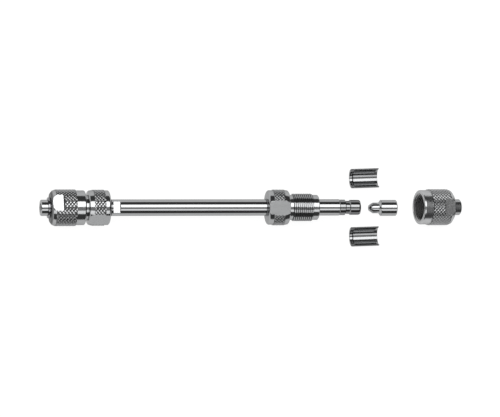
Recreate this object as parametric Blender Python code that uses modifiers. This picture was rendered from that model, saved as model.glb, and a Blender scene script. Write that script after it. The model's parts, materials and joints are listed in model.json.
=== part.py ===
"""Cartridge column for liquid chromatography, lying on a bench.

The outlet end, at -X, is made up: two half-shells grip the groove in the tube, the coupling nut
holds them shut, and the cap nut draws the port insert and the adapter against the tube. The inlet
end, at +X, is taken apart: its coupling nut is slid back along the tube, and the half-shells, the
guard cartridge and the cap nut lie beside and beyond the tube's end.

The origin is under the middle of the whole layout, on the bench. +X runs along the tube to its
inlet, and +Z is up. Turned pieces are modelled along their own Z axis, outwards from the tube.
"""

import math

import bmesh
import bpy

MM = 0.001
RIGHT_ANGLE = math.radians(90)

# Clearances
FIT = 0.15 * MM  # radial clearance of pieces that slide in each other
SEAT = 0.2 * MM  # axial gap between faces that bear on each other

# Cartridge tube
BED_LENGTH = 125 * MM  # between the frits
TUBE_RADIUS = 4.1 * MM
TUBE_BORE_RADIUS = 2.0 * MM
HEAD_RADIUS = 3.75 * MM
HEAD_LENGTH = 5.2 * MM
HEAD_ROUNDING_LENGTH = 1.1 * MM
HEAD_FACE_WIDTH = 0.15 * MM
NECK_RADIUS = 3.25 * MM
GROOVE_FLOOR_WIDTH = 1.8 * MM
GROOVE_WALL_WIDTH = 0.45 * MM
LAND_RADIUS = 3.9 * MM  # turned-down land behind the groove
LAND_LENGTH = 2.7 * MM
LAND_TAPER = 0.3 * MM
POCKET_RADIUS = 2.8 * MM  # pocket for frit and seat ring
POCKET_DEPTH = 5.7 * MM
TUBE_FLAT_START = 11.2 * MM  # from the outlet end
TUBE_FLAT_LENGTH = 4.15 * MM
TUBE_FLAT_ACROSS = 6.0 * MM
TUBE_FLAT_ROLL = math.radians(-3.5)

# Frit and seat ring in each end of the tube
TUBE_FRIT_THICKNESS = 2.0 * MM
SEAT_HOLE_RADIUS = 0.9 * MM

# Half-shells
SHELL_RADIUS = 4.85 * MM
SHELL_LENGTH = 14.4 * MM
SHELL_CHAMFER = 0.3 * MM
SHELL_SAW_CUT = 0.3 * MM

# Guard cartridge and outlet adapter, which share one outline
GUARD_LENGTH = 14.1 * MM
GUARD_RADIUS = 4.0 * MM
GUARD_CHAMFER = 0.4 * MM
NOSE_TIP_RADIUS = 1.4 * MM
NOSE_RADIUS = 2.68 * MM
NOSE_CONE_LENGTH = 2.05 * MM
NOSE_LENGTH = 5.15 * MM
SHOULDER_LENGTH = 0.9 * MM
NOSE_ENTRY = 1.5 * MM  # depth of the nose in the seat ring
PASSAGE_RADIUS = 0.4 * MM
CHAMBER_RADIUS = 2.6 * MM
CHAMBER_START = 6.3 * MM
GUARD_FRIT_THICKNESS = 1.0 * MM
GUARD_RING_THICKNESS = 1.0 * MM
GUARD_RING_HOLE_RADIUS = 1.0 * MM

# Coupling nut
COLLAR_LENGTH = 2.4 * MM  # bore that runs on the tube
RING_LENGTH = 10.8 * MM
RING_FACE_RADIUS = 7.2 * MM
RING_ROUNDING_LENGTH = 1.1 * MM
COUPLING_KNURL_RADIUS = 8.9 * MM
COUPLING_KNURL_START = 2.6 * MM
COUPLING_KNURL_LENGTH = 5.7 * MM
THREAD_RADIUS = 6.75 * MM
THREAD_RELIEF_RADIUS = 6.3 * MM
THREAD_RUNOUT = 1.9 * MM
THREAD_LENGTH = 10.2 * MM
LEAD_LENGTH = 3.0 * MM
LEAD_CHAMFER = 0.4 * MM
COUNTERSINK = 0.6 * MM

# Cap nut
CAP_KNURL_RADIUS = 9.05 * MM
CAP_KNURL_START = 4.6 * MM
CAP_KNURL_LENGTH = 10.2 * MM
CAP_THREAD_CLEARANCE = 0.2 * MM
CAP_MOUTH_CHAMFER = 0.25 * MM
CAP_WALL = 3.2 * MM
CAP_RIM_ROUNDING = 0.8 * MM
CAP_END_RADIUS = 7.25 * MM
CAP_END_CHAMFER = 0.9 * MM
CAP_GAP = 1.45 * MM  # from the coupling ring to the cap's mouth
CAP_SLEEVE_GAP = 0.35 * MM  # from the end of the coupling's sleeve to the cap's floor

# Both nuts
BAND_RADIUS = 8.6 * MM  # plain band in front of the knurl
KNURL_STEP = 0.15 * MM  # length of the slope up to the knurl
SHOULDER_RADIUS = 8.45 * MM  # end of the long slope behind the knurl
SHOULDER_CHAMFER = 0.4 * MM
NUT_ACROSS_FLATS = 16.0 * MM
CAP_FLAT_START = 10.25 * MM  # from the mouth

# Port insert and its retaining ring
FLANGE_RADIUS = 4.8 * MM
STUB_RADIUS = 4.0 * MM
STUB_LENGTH = 4.75 * MM  # outside the cap
STUB_CHAMFER = 0.35 * MM
PORT_RADIUS = 2.3 * MM
PORT_DEPTH = 6.0 * MM
PORT_CONE_LENGTH = 1.0 * MM
PORT_CONE_RADIUS = 0.8 * MM
SNAP_RING_OFFSET = 0.5 * MM  # from the cap's end face
SNAP_RING_THICKNESS = 0.7 * MM
SNAP_RING_RADIUS = 5.1 * MM
SNAP_GROOVE_RADIUS = 3.6 * MM
SNAP_RING_MOUTH = 2.6 * MM
SNAP_RING_ROLL = math.radians(140)
SEAL_RADIUS = 2.5 * MM
SEAL_THICKNESS = 0.4 * MM

# Layout on the bench
COUPLING_SLID_BACK = 37.6 * MM
GUARD_GAP = 5.6 * MM  # from the tube's inlet end to the guard's nose
GUARD_ASIDE = -0.3 * MM
CAP_LAID_OFF = 29.8 * MM  # from the tube's inlet end to the middle of the cap's mouth
SHELL_SPREAD = 14.55 * MM
SHELL_MIDDLE = 3.6 * MM  # from the tube's inlet end
SHELL_YAW = math.radians(1.75)
OUTLET_CAP_ROLL = math.radians(18)
OUTLET_COUPLING_ROLL = math.radians(-48)
INLET_COUPLING_ROLL = math.radians(2)

SMALL_SEGMENTS = 24
LARGE_SEGMENTS = 36
ROUNDING_STEPS = 3
SHARP_ANGLE = math.radians(35)

# Places that follow from the sizes, as distances outwards from the end of the tube
TUBE_LENGTH = BED_LENGTH + 2 * POCKET_DEPTH
GROOVE_INNER = -(HEAD_LENGTH + GROOVE_WALL_WIDTH + GROOVE_FLOOR_WIDTH)
SHELL_PLACE = GROOVE_INNER + SEAT
COUPLING_PLACE = SHELL_PLACE - SEAT - COLLAR_LENGTH
ADAPTER_PLACE = SEAT - NOSE_ENTRY
INSERT_PLACE = ADAPTER_PLACE + GUARD_LENGTH + SEAT
CAP_PLACE = COUPLING_PLACE + RING_LENGTH + CAP_GAP
COUPLING_LENGTH = RING_LENGTH + THREAD_RUNOUT + THREAD_LENGTH + LEAD_LENGTH
CAP_FLOOR = COUPLING_LENGTH - RING_LENGTH - CAP_GAP + CAP_SLEEVE_GAP
CAP_LENGTH = CAP_FLOOR + CAP_WALL
CAP_BORE_RADIUS = THREAD_RADIUS + CAP_THREAD_CLEARANCE
SHELL_BORE_RADIUS = GUARD_RADIUS + FIT
LIP_RADIUS = NECK_RADIUS + FIT
LIP_WIDTH = GROOVE_FLOOR_WIDTH - 2 * SEAT
GUARD_RING_PLACE = GUARD_LENGTH - GUARD_RING_THICKNESS
GUARD_BED_LENGTH = GUARD_RING_PLACE - CHAMBER_START - 2 * GUARD_FRIT_THICKNESS - 4 * SEAT

# The cap that is taken off lies on one wrench flat and on the edge of its knurl, mouth up
FLAT_RADIUS = NUT_ACROSS_FLATS / 2
CAP_FLAT_END = CAP_LENGTH - CAP_END_CHAMFER * (FLAT_RADIUS - CAP_END_RADIUS) / (
    SHOULDER_RADIUS - CAP_END_RADIUS
)
CAP_TILT = math.atan2(CAP_KNURL_RADIUS - FLAT_RADIUS, CAP_FLAT_END - CAP_FLAT_START)
CAP_MOUTH_HEIGHT = CAP_FLAT_START * math.sin(CAP_TILT) + CAP_KNURL_RADIUS * math.cos(CAP_TILT)

# The origin is under the middle of the layout
AXIS_HEIGHT = CAP_KNURL_RADIUS
STUB_TIP = CAP_LENGTH + STUB_LENGTH
LEFT_REACH = TUBE_LENGTH + CAP_PLACE + STUB_TIP
RIGHT_REACH = (
    CAP_LAID_OFF
    + STUB_TIP * math.cos(CAP_TILT)
    + (STUB_RADIUS - STUB_CHAMFER) * math.sin(CAP_TILT)
)
INLET_END = (LEFT_REACH - RIGHT_REACH) / 2
OUTLET_END = INLET_END - TUBE_LENGTH


def clear_scene():
    """Removes what the scene holds, so that the script can be run again."""
    for item in list(bpy.data.objects):
        bpy.data.objects.remove(item)


def new_collection(name):
    collection = bpy.data.collections.new(name)
    bpy.context.scene.collection.children.link(collection)
    return collection


def new_material(name, colour, metallic, roughness):
    made = bpy.data.materials.new(name)
    made.use_nodes = True
    shader = made.node_tree.nodes["Principled BSDF"]
    shader.inputs["Base Color"].default_value = (*colour, 1)
    shader.inputs["Metallic"].default_value = metallic
    shader.inputs["Roughness"].default_value = roughness
    return made


clear_scene()
COLUMN = new_collection("hplc_column")
CUTTERS = new_collection("cutters")
POLISHED_STEEL = new_material("polished_steel", (0.78, 0.79, 0.80), 1.0, 0.08)
TURNED_STEEL = new_material("turned_steel", (0.66, 0.67, 0.68), 1.0, 0.22)
SPRING_STEEL = new_material("spring_steel", (0.35, 0.35, 0.36), 0.9, 0.35)
SINTERED_STEEL = new_material("sintered_steel", (0.45, 0.45, 0.44), 0.8, 0.7)
SILICA = new_material("silica_packing", (0.92, 0.91, 0.88), 0.0, 0.9)
SEAL_PLASTIC = new_material("seal_plastic", (0.85, 0.85, 0.83), 0.0, 0.45)


def new_place(name, location, turn, yaw=0.0):
    """An empty that carries the pieces of one group: its Z axis runs outwards along the column."""
    place = bpy.data.objects.new(name, None)
    place.empty_display_size = 5 * MM
    place.location = location
    place.rotation_euler = (0, turn, yaw)
    COLUMN.objects.link(place)
    return place


def put(piece, place, outwards, roll=0.0):
    """Sets a piece on the Z axis of a place, turned about that axis by roll."""
    piece.parent = place
    piece.location = (0, 0, outwards)
    piece.rotation_euler = (0, 0, roll)
    return piece


def turned(name, outside, bore, material, segments=SMALL_SEGMENTS):
    """A turned piece: outside and bore are (place along Z, radius), from the low to the high end."""
    if bore:
        outline = [*reversed(outside), *bore]
    else:
        outline = [(outside[-1][0], 0), *reversed(outside), (outside[0][0], 0)]
    mesh = bpy.data.meshes.new(name)
    corners = [(radius, 0, z) for z, radius in outline]
    edges = [(i, i + 1) for i in range(len(corners) - 1)]
    if bore:
        edges.append((len(corners) - 1, 0))
    mesh.from_pydata(corners, edges, [])
    piece = bpy.data.objects.new(name, mesh)
    mesh.materials.append(material)
    screw = piece.modifiers.new("turn", "SCREW")
    screw.steps = screw.render_steps = segments
    screw.use_merge_vertices = True
    screw.merge_threshold = 0.001 * MM
    COLUMN.objects.link(piece)
    return piece


def rounding(start, end, steps=ROUNDING_STEPS):
    """Points of a quarter ellipse between two (z, radius) corners, which leaves the start radially."""
    points = []
    for i in range(steps + 1):
        angle = RIGHT_ANGLE * i / steps
        z = start[0] + (end[0] - start[0]) * (1 - math.cos(angle))
        radius = start[1] + (end[1] - start[1]) * math.sin(angle)
        points.append((z, radius))
    return points


def knurl_outline(start, length, radius):
    """The raised band of a knurl, with a short step up to it from the plain band."""
    return [
        (start, BAND_RADIUS),
        (start + KNURL_STEP, radius),
        (start + length, radius),
    ]


def box_cutter(name, low, high):
    """A box between two corners, in the frame of the piece that it cuts."""
    mesh = bpy.data.meshes.new(name)
    shape = bmesh.new()
    bmesh.ops.create_cube(shape, size=1)
    size = [high[i] - low[i] for i in range(3)]
    middle = [(high[i] + low[i]) / 2 for i in range(3)]
    bmesh.ops.scale(shape, vec=size, verts=shape.verts)
    bmesh.ops.translate(shape, vec=middle, verts=shape.verts)
    shape.to_mesh(mesh)
    shape.free()
    cutter = bpy.data.objects.new(name, mesh)
    cutter.hide_render = True
    cutter.display_type = "WIRE"
    CUTTERS.objects.link(cutter)
    return cutter


def cut(piece, cutter):
    """Cuts a piece with a cutter that is given in the piece's own frame."""
    cutter.parent = piece
    change = piece.modifiers.new(cutter.name, "BOOLEAN")
    change.operation = "DIFFERENCE"
    change.object = cutter


def mill_flats(piece, across, start, end):
    """Mills two wrench flats, on the piece's +X and -X sides, from start to end along its axis."""
    reach = 2 * CAP_KNURL_RADIUS
    for side, sign in (("up", 1), ("down", -1)):
        near, far = sorted((sign * across / 2, sign * reach))
        cutter = box_cutter(f"{piece.name}_flat_{side}", (near, -reach, start), (far, reach, end))
        cut(piece, cutter)


def tube_end_outline():
    """The outside of one end of the tube, as (distance from the end, radius)."""
    face_radius = POCKET_RADIUS + HEAD_FACE_WIDTH
    floor_start = HEAD_LENGTH + GROOVE_WALL_WIDTH
    floor_end = floor_start + GROOVE_FLOOR_WIDTH
    groove_end = floor_end + GROOVE_WALL_WIDTH
    land_end = groove_end + LAND_LENGTH
    return [
        *rounding((0, face_radius), (HEAD_ROUNDING_LENGTH, HEAD_RADIUS)),
        (HEAD_LENGTH, HEAD_RADIUS),
        (floor_start, NECK_RADIUS),
        (floor_end, NECK_RADIUS),
        (groove_end, LAND_RADIUS),
        (land_end, LAND_RADIUS),
        (land_end + LAND_TAPER, TUBE_RADIUS),
    ]


def make_tube(place):
    """The steel tube, its two grooved heads, the pockets in its ends and its wrench flats."""
    end = tube_end_outline()
    outside = end + [(TUBE_LENGTH - z, radius) for z, radius in reversed(end)]
    bore = [
        (0, POCKET_RADIUS),
        (POCKET_DEPTH, POCKET_RADIUS),
        (POCKET_DEPTH, TUBE_BORE_RADIUS),
        (TUBE_LENGTH - POCKET_DEPTH, TUBE_BORE_RADIUS),
        (TUBE_LENGTH - POCKET_DEPTH, POCKET_RADIUS),
        (TUBE_LENGTH, POCKET_RADIUS),
    ]
    tube = put(turned("cartridge_tube", outside, bore, POLISHED_STEEL), place, 0, TUBE_FLAT_ROLL)
    mill_flats(tube, TUBE_FLAT_ACROSS, TUBE_FLAT_START, TUBE_FLAT_START + TUBE_FLAT_LENGTH)


def make_bed(place):
    """The packed silica between the two frits."""
    radius = TUBE_BORE_RADIUS - FIT
    ends = (POCKET_DEPTH, TUBE_LENGTH - POCKET_DEPTH)
    put(turned("packed_bed", [(z, radius) for z in ends], None, SILICA), place, 0)


def make_end_seat(end_name, place):
    """The sintered frit at the bottom of the tube's pocket, and the ring that seats the nose."""
    radius = POCKET_RADIUS - FIT
    frit_start = SEAT - POCKET_DEPTH
    frit_end = frit_start + TUBE_FRIT_THICKNESS
    outside = [(frit_start, radius), (frit_end, radius)]
    put(turned(f"{end_name}_frit", outside, None, SINTERED_STEEL), place, 0)

    ring_start = frit_end + SEAT
    slope = (NOSE_RADIUS - NOSE_TIP_RADIUS) / NOSE_CONE_LENGTH
    cone_start = ADAPTER_PLACE - SEAT
    outside = [(ring_start, radius), (0, radius)]
    bore = [
        (ring_start, SEAT_HOLE_RADIUS),
        (cone_start, SEAT_HOLE_RADIUS),
        (cone_start, NOSE_TIP_RADIUS + FIT),
        (ADAPTER_PLACE, NOSE_TIP_RADIUS + FIT),
        (0, NOSE_TIP_RADIUS - ADAPTER_PLACE * slope + FIT),
    ]
    put(turned(f"{end_name}_seat_ring", outside, bore, SEAL_PLASTIC), place, 0)


def guard_outline():
    """The outside of the guard cartridge and of the outlet adapter, from the nose's tip."""
    return [
        (0, NOSE_TIP_RADIUS),
        (NOSE_CONE_LENGTH, NOSE_RADIUS),
        (NOSE_LENGTH, NOSE_RADIUS),
        (NOSE_LENGTH + SHOULDER_LENGTH, GUARD_RADIUS),
        (GUARD_LENGTH - GUARD_CHAMFER, GUARD_RADIUS),
        (GUARD_LENGTH, GUARD_RADIUS - GUARD_CHAMFER),
    ]


def make_adapter(place):
    """The outlet adapter, a turned plug with a fine passage through it."""
    bore = [(0, PASSAGE_RADIUS), (GUARD_LENGTH, PASSAGE_RADIUS)]
    adapter = turned("outlet_adapter", guard_outline(), bore, POLISHED_STEEL)
    put(adapter, place, ADAPTER_PLACE)


def make_guard(place):
    """The guard cartridge: its body, its short bed between two frits, and the ring that shuts it."""
    bore = [
        (0, PASSAGE_RADIUS),
        (CHAMBER_START, PASSAGE_RADIUS),
        (CHAMBER_START, CHAMBER_RADIUS),
        (GUARD_LENGTH, CHAMBER_RADIUS),
    ]
    put(turned("guard_body", guard_outline(), bore, POLISHED_STEEL), place, 0)

    radius = CHAMBER_RADIUS - FIT
    fillings = (
        ("guard_front_frit", GUARD_FRIT_THICKNESS, SINTERED_STEEL),
        ("guard_bed", GUARD_BED_LENGTH, SILICA),
        ("guard_back_frit", GUARD_FRIT_THICKNESS, SINTERED_STEEL),
    )
    start = CHAMBER_START + SEAT
    for name, length, material in fillings:
        outside = [(start, radius), (start + length, radius)]
        put(turned(name, outside, None, material), place, 0)
        start += length + SEAT
    outside = [(GUARD_RING_PLACE, radius), (GUARD_LENGTH, radius)]
    bore = [(z, GUARD_RING_HOLE_RADIUS) for z, _ in outside]
    put(turned("guard_end_ring", outside, bore, SEAL_PLASTIC), place, 0)


def make_half_shell(name, place, outwards, roll):
    """Half of the split sleeve: a lip at its low end drops into the groove of the tube."""
    cone_length = GROOVE_WALL_WIDTH * (SHELL_BORE_RADIUS - LIP_RADIUS) / (HEAD_RADIUS - NECK_RADIUS)
    outside = [
        (0, SHELL_RADIUS - SHELL_CHAMFER),
        (SHELL_CHAMFER, SHELL_RADIUS),
        (SHELL_LENGTH - SHELL_CHAMFER, SHELL_RADIUS),
        (SHELL_LENGTH, SHELL_RADIUS - SHELL_CHAMFER / 2),
    ]
    bore = [
        (0, LIP_RADIUS),
        (LIP_WIDTH, LIP_RADIUS),
        (LIP_WIDTH + cone_length, SHELL_BORE_RADIUS),
        (SHELL_LENGTH - SHELL_CHAMFER, SHELL_BORE_RADIUS),
        (SHELL_LENGTH, SHELL_BORE_RADIUS + SHELL_CHAMFER / 2),
    ]
    shell = turned(name, outside, bore, POLISHED_STEEL)
    reach = 2 * SHELL_RADIUS
    low = (-SHELL_SAW_CUT / 2, -reach, -reach)
    cut(shell, box_cutter(f"{name}_other_half", low, (reach, reach, SHELL_LENGTH + reach)))
    put(shell, place, outwards, roll)


def make_coupling(name, place, outwards, roll):
    """The coupling nut: a knurled ring with two wrench flats, and a threaded sleeve."""
    thread_start = RING_LENGTH + THREAD_RUNOUT
    lead_start = thread_start + THREAD_LENGTH
    outside = [
        *rounding((0, RING_FACE_RADIUS), (RING_ROUNDING_LENGTH, BAND_RADIUS)),
        *knurl_outline(COUPLING_KNURL_START, COUPLING_KNURL_LENGTH, COUPLING_KNURL_RADIUS),
        (RING_LENGTH - SHOULDER_CHAMFER, SHOULDER_RADIUS),
        (RING_LENGTH, SHOULDER_RADIUS - SHOULDER_CHAMFER),
        (RING_LENGTH, THREAD_RELIEF_RADIUS),
        (thread_start, THREAD_RELIEF_RADIUS),
        (thread_start, THREAD_RADIUS),
        (lead_start, THREAD_RADIUS),
        (lead_start, THREAD_RELIEF_RADIUS),
        (COUPLING_LENGTH - LEAD_CHAMFER, THREAD_RELIEF_RADIUS),
        (COUPLING_LENGTH, THREAD_RELIEF_RADIUS - LEAD_CHAMFER),
    ]
    bore = [
        (0, TUBE_RADIUS + FIT + COUNTERSINK),
        (COUNTERSINK, TUBE_RADIUS + FIT),
        (COLLAR_LENGTH, TUBE_RADIUS + FIT),
        (COLLAR_LENGTH, SHELL_RADIUS + FIT),
        (COUPLING_LENGTH, SHELL_RADIUS + FIT),
    ]
    nut = turned(name, outside, bore, TURNED_STEEL, LARGE_SEGMENTS)
    mill_flats(nut, NUT_ACROSS_FLATS, -SEAT, RING_LENGTH + SEAT)
    put(nut, place, outwards, roll)


def make_cap(name, place, outwards, roll):
    """The cap nut: a knurled cup with a plain rim, and two wrench flats at its closed end."""
    outside = [
        *rounding((0, BAND_RADIUS - CAP_RIM_ROUNDING), (CAP_RIM_ROUNDING, BAND_RADIUS)),
        *knurl_outline(CAP_KNURL_START, CAP_KNURL_LENGTH, CAP_KNURL_RADIUS),
        (CAP_LENGTH - CAP_END_CHAMFER, SHOULDER_RADIUS),
        (CAP_LENGTH, CAP_END_RADIUS),
    ]
    bore = [
        (0, CAP_BORE_RADIUS + CAP_MOUTH_CHAMFER),
        (CAP_MOUTH_CHAMFER, CAP_BORE_RADIUS),
        (CAP_FLOOR, CAP_BORE_RADIUS),
        (CAP_FLOOR, STUB_RADIUS + FIT),
        (CAP_LENGTH, STUB_RADIUS + FIT),
    ]
    nut = turned(name, outside, bore, TURNED_STEEL, LARGE_SEGMENTS)
    mill_flats(nut, NUT_ACROSS_FLATS, CAP_FLAT_START, CAP_LENGTH + SEAT)
    put(nut, place, outwards, roll)


def make_insert(end_name, place, outwards, cap_outwards):
    """The port insert that turns in the cap, the ring that keeps it there, and its face seal."""
    floor = cap_outwards + CAP_FLOOR - outwards
    flange_end = floor - SEAT
    cap_end = floor + CAP_WALL
    tip = cap_end + STUB_LENGTH
    ring_start = cap_end + SNAP_RING_OFFSET
    ring_end = ring_start + SNAP_RING_THICKNESS
    recess_depth = SEAL_THICKNESS + SEAT
    port_floor = tip - PORT_DEPTH
    outside = [
        (0, FLANGE_RADIUS),
        (flange_end, FLANGE_RADIUS),
        (flange_end, STUB_RADIUS),
        (ring_start - FIT, STUB_RADIUS),
        (ring_start - FIT, SNAP_GROOVE_RADIUS),
        (ring_end + FIT, SNAP_GROOVE_RADIUS),
        (ring_end + FIT, STUB_RADIUS),
        (tip - STUB_CHAMFER, STUB_RADIUS),
        (tip, STUB_RADIUS - STUB_CHAMFER),
    ]
    bore = [
        (0, SEAL_RADIUS + FIT),
        (recess_depth, SEAL_RADIUS + FIT),
        (recess_depth, PASSAGE_RADIUS),
        (port_floor - PORT_CONE_LENGTH, PASSAGE_RADIUS),
        (port_floor - PORT_CONE_LENGTH, PORT_CONE_RADIUS),
        (port_floor, PORT_RADIUS),
        (tip, PORT_RADIUS),
    ]
    put(turned(f"{end_name}_port_insert", outside, bore, POLISHED_STEEL), place, outwards)

    outside = [(ring_start, SNAP_RING_RADIUS), (ring_end, SNAP_RING_RADIUS)]
    bore = [(z, SNAP_GROOVE_RADIUS + FIT) for z, _ in outside]
    ring = turned(f"{end_name}_snap_ring", outside, bore, SPRING_STEEL)
    half = SNAP_RING_MOUTH / 2
    low = (0, -half, ring_start - SEAT)
    cut(ring, box_cutter(f"{ring.name}_mouth", low, (2 * SNAP_RING_RADIUS, half, ring_end + SEAT)))
    put(ring, place, outwards, SNAP_RING_ROLL)

    outside = [(SEAT / 2, SEAL_RADIUS), (SEAT / 2 + SEAL_THICKNESS, SEAL_RADIUS)]
    bore = [(z, PASSAGE_RADIUS) for z, _ in outside]
    put(turned(f"{end_name}_face_seal", outside, bore, SEAL_PLASTIC), place, outwards)


def make_column():
    """The tube with what is packed in it, from its outlet end."""
    tube_place = new_place("tube_place", (OUTLET_END, 0, AXIS_HEIGHT), RIGHT_ANGLE)
    make_tube(tube_place)
    make_bed(tube_place)


def make_outlet_end():
    """The outlet fitting, made up."""
    place = new_place("outlet_place", (OUTLET_END, 0, AXIS_HEIGHT), -RIGHT_ANGLE)
    make_end_seat("outlet", place)
    make_half_shell("outlet_shell_front", place, SHELL_PLACE, 0)
    make_half_shell("outlet_shell_back", place, SHELL_PLACE, 2 * RIGHT_ANGLE)
    make_adapter(place)
    make_coupling("outlet_coupling_nut", place, COUPLING_PLACE, OUTLET_COUPLING_ROLL)
    make_insert("outlet", place, INSERT_PLACE, CAP_PLACE)
    make_cap("outlet_cap_nut", place, CAP_PLACE, OUTLET_CAP_ROLL)


def make_inlet_end():
    """The inlet fitting, taken apart and laid out on the bench."""
    place = new_place("inlet_place", (INLET_END, 0, AXIS_HEIGHT), RIGHT_ANGLE)
    make_end_seat("inlet", place)
    coupling_place = COUPLING_PLACE - COUPLING_SLID_BACK
    make_coupling("inlet_coupling_nut", place, coupling_place, INLET_COUPLING_ROLL)

    guard_x = INLET_END + GUARD_GAP
    make_guard(new_place("guard_place", (guard_x, GUARD_ASIDE, GUARD_RADIUS), RIGHT_ANGLE))

    shell_x = INLET_END + SHELL_MIDDLE - SHELL_LENGTH / 2 * math.cos(SHELL_YAW)
    for side, sign in (("left", 1), ("right", -1)):
        shell_y = sign * SHELL_SPREAD - SHELL_LENGTH / 2 * math.sin(SHELL_YAW)
        location = (shell_x, shell_y, SHELL_RADIUS)
        shell_place = new_place(f"shell_{side}_place", location, RIGHT_ANGLE, SHELL_YAW)
        make_half_shell(f"inlet_shell_{side}", shell_place, 0, 2 * RIGHT_ANGLE)

    cap_x = INLET_END + CAP_LAID_OFF
    cap_place = new_place("cap_place", (cap_x, 0, CAP_MOUTH_HEIGHT), RIGHT_ANGLE + CAP_TILT)
    make_cap("inlet_cap_nut", cap_place, 0, 0)
    make_insert("inlet", cap_place, INSERT_PLACE - CAP_PLACE, 0)


def shade_pieces():
    """Gives each piece its finished mesh, shaded smooth apart from its sharp edges."""
    bpy.context.view_layer.update()
    graph = bpy.context.evaluated_depsgraph_get()
    pieces = [item for item in COLUMN.objects if item.type == "MESH"]
    meshes = [bpy.data.meshes.new_from_object(item.evaluated_get(graph)) for item in pieces]
    for piece, mesh in zip(pieces, meshes):
        mesh.name = piece.name
        mesh.shade_smooth()
        mesh.set_sharp_from_angle(angle=SHARP_ANGLE)
        piece.modifiers.clear()
        piece.data = mesh


make_column()
make_outlet_end()
make_inlet_end()
shade_pieces()
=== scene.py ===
import json
import math

import bmesh
import bpy
from mathutils import Matrix, Vector


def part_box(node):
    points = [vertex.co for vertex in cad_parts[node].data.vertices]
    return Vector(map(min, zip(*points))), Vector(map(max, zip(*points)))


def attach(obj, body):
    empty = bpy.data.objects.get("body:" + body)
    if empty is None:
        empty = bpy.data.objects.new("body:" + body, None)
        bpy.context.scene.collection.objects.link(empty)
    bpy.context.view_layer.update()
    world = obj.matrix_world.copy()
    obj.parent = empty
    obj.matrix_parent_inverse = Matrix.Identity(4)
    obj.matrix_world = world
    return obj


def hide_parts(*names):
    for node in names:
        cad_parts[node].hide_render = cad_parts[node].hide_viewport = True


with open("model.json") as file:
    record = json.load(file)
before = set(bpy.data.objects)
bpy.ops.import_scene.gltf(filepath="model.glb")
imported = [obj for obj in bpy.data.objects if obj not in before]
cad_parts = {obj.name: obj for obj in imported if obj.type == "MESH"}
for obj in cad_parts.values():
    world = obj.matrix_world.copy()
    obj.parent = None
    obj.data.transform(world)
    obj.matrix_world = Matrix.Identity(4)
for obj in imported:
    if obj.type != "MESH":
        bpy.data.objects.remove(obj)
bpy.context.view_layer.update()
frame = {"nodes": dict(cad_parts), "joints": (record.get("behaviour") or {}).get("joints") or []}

# The camera
# The photograph looks down on the bench from 2 m above the column, leaning 11 degrees towards
# the outlet end, through a long lens. Its picture is 500 by 417 pixels.
MM = 0.001
PHOTO_WIDTH = 500
FOCAL_LENGTH_PIXELS = 4030
SENSOR_WIDTH = 36
CAMERA_DISTANCE = 2.0
CAMERA_LEAN = math.radians(11)
CAMERA_ROLL = math.radians(-0.09)
TUBE_END_FROM_MIDDLE = 55.8 * MM
AXIS_ABOVE_MIDDLE = 0.5 * MM

joints = {joint["name"]: joint for joint in frame["joints"]}
axis_height = joints["outlet_cap_turn"]["pos_m"][2]
outlet_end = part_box("cartridge_tube")[0].x
inlet_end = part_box("cartridge_tube")[1].x

photo_middle = Vector((inlet_end - TUBE_END_FROM_MIDDLE, -AXIS_ABOVE_MIDDLE, axis_height))
camera_lens = bpy.data.cameras.new("camera")
camera_lens.sensor_width = SENSOR_WIDTH
camera_lens.lens = SENSOR_WIDTH * FOCAL_LENGTH_PIXELS / PHOTO_WIDTH
camera_lens.clip_start = 0.01
camera = bpy.data.objects.new("camera", camera_lens)
camera.rotation_euler = (0, -CAMERA_LEAN, CAMERA_ROLL)
lean = camera.rotation_euler.to_matrix() @ Vector((0, 0, 1))
camera.location = photo_middle + CAMERA_DISTANCE * lean
bpy.context.scene.collection.objects.link(camera)
bpy.context.scene.camera = camera
bpy.context.scene.view_settings.view_transform = "Standard"

# The bench and the light
# A plain white bench top, two long softboxes over the column's sides, and a dim room. The bands
# in the polished steel are the two boxes, the dim gap between them, and the bench.
BENCH_SIZE = 3.0
BENCH_COLOUR = (0.12, 0.12, 0.12, 1)
BENCH_GLOW = 0.94
BENCH_ROUGHNESS = 0.8
BENCH_SHINE = 0.1
SOFTBOX_DISTANCE = 0.9
SOFTBOX_LENGTH = 1.8
SOFTBOX_MIDDLE = -0.4
BACK_BOX = {"name": "back_softbox", "near": 6, "far": 41, "power": 9.4}
FRONT_BOX = {"name": "front_softbox", "near": -19, "far": -41, "power": 2.8}


def new_material(name):
    """A material with only its Principled shader, and the shader."""
    made = bpy.data.materials.new(name)
    made.use_nodes = True
    return made, made.node_tree.nodes["Principled BSDF"]


def softbox(name, near, far, power):
    """A softbox that fills the angles from near to far, in degrees from straight up towards +Y."""
    middle = math.radians((near + far) / 2)
    half = math.radians(abs(far - near) / 2)
    lamp = bpy.data.lights.new(name, "AREA")
    lamp.shape = "RECTANGLE"
    lamp.size = SOFTBOX_LENGTH
    lamp.size_y = 2 * SOFTBOX_DISTANCE * math.tan(half)
    lamp.energy = power
    box = bpy.data.objects.new(name, lamp)
    away = Vector((0, math.sin(middle), math.cos(middle)))
    box.location = Vector((SOFTBOX_MIDDLE, 0, 0)) + SOFTBOX_DISTANCE * away
    box.rotation_euler = (-middle, 0, 0)
    box.visible_camera = False
    bpy.context.scene.collection.objects.link(box)


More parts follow.
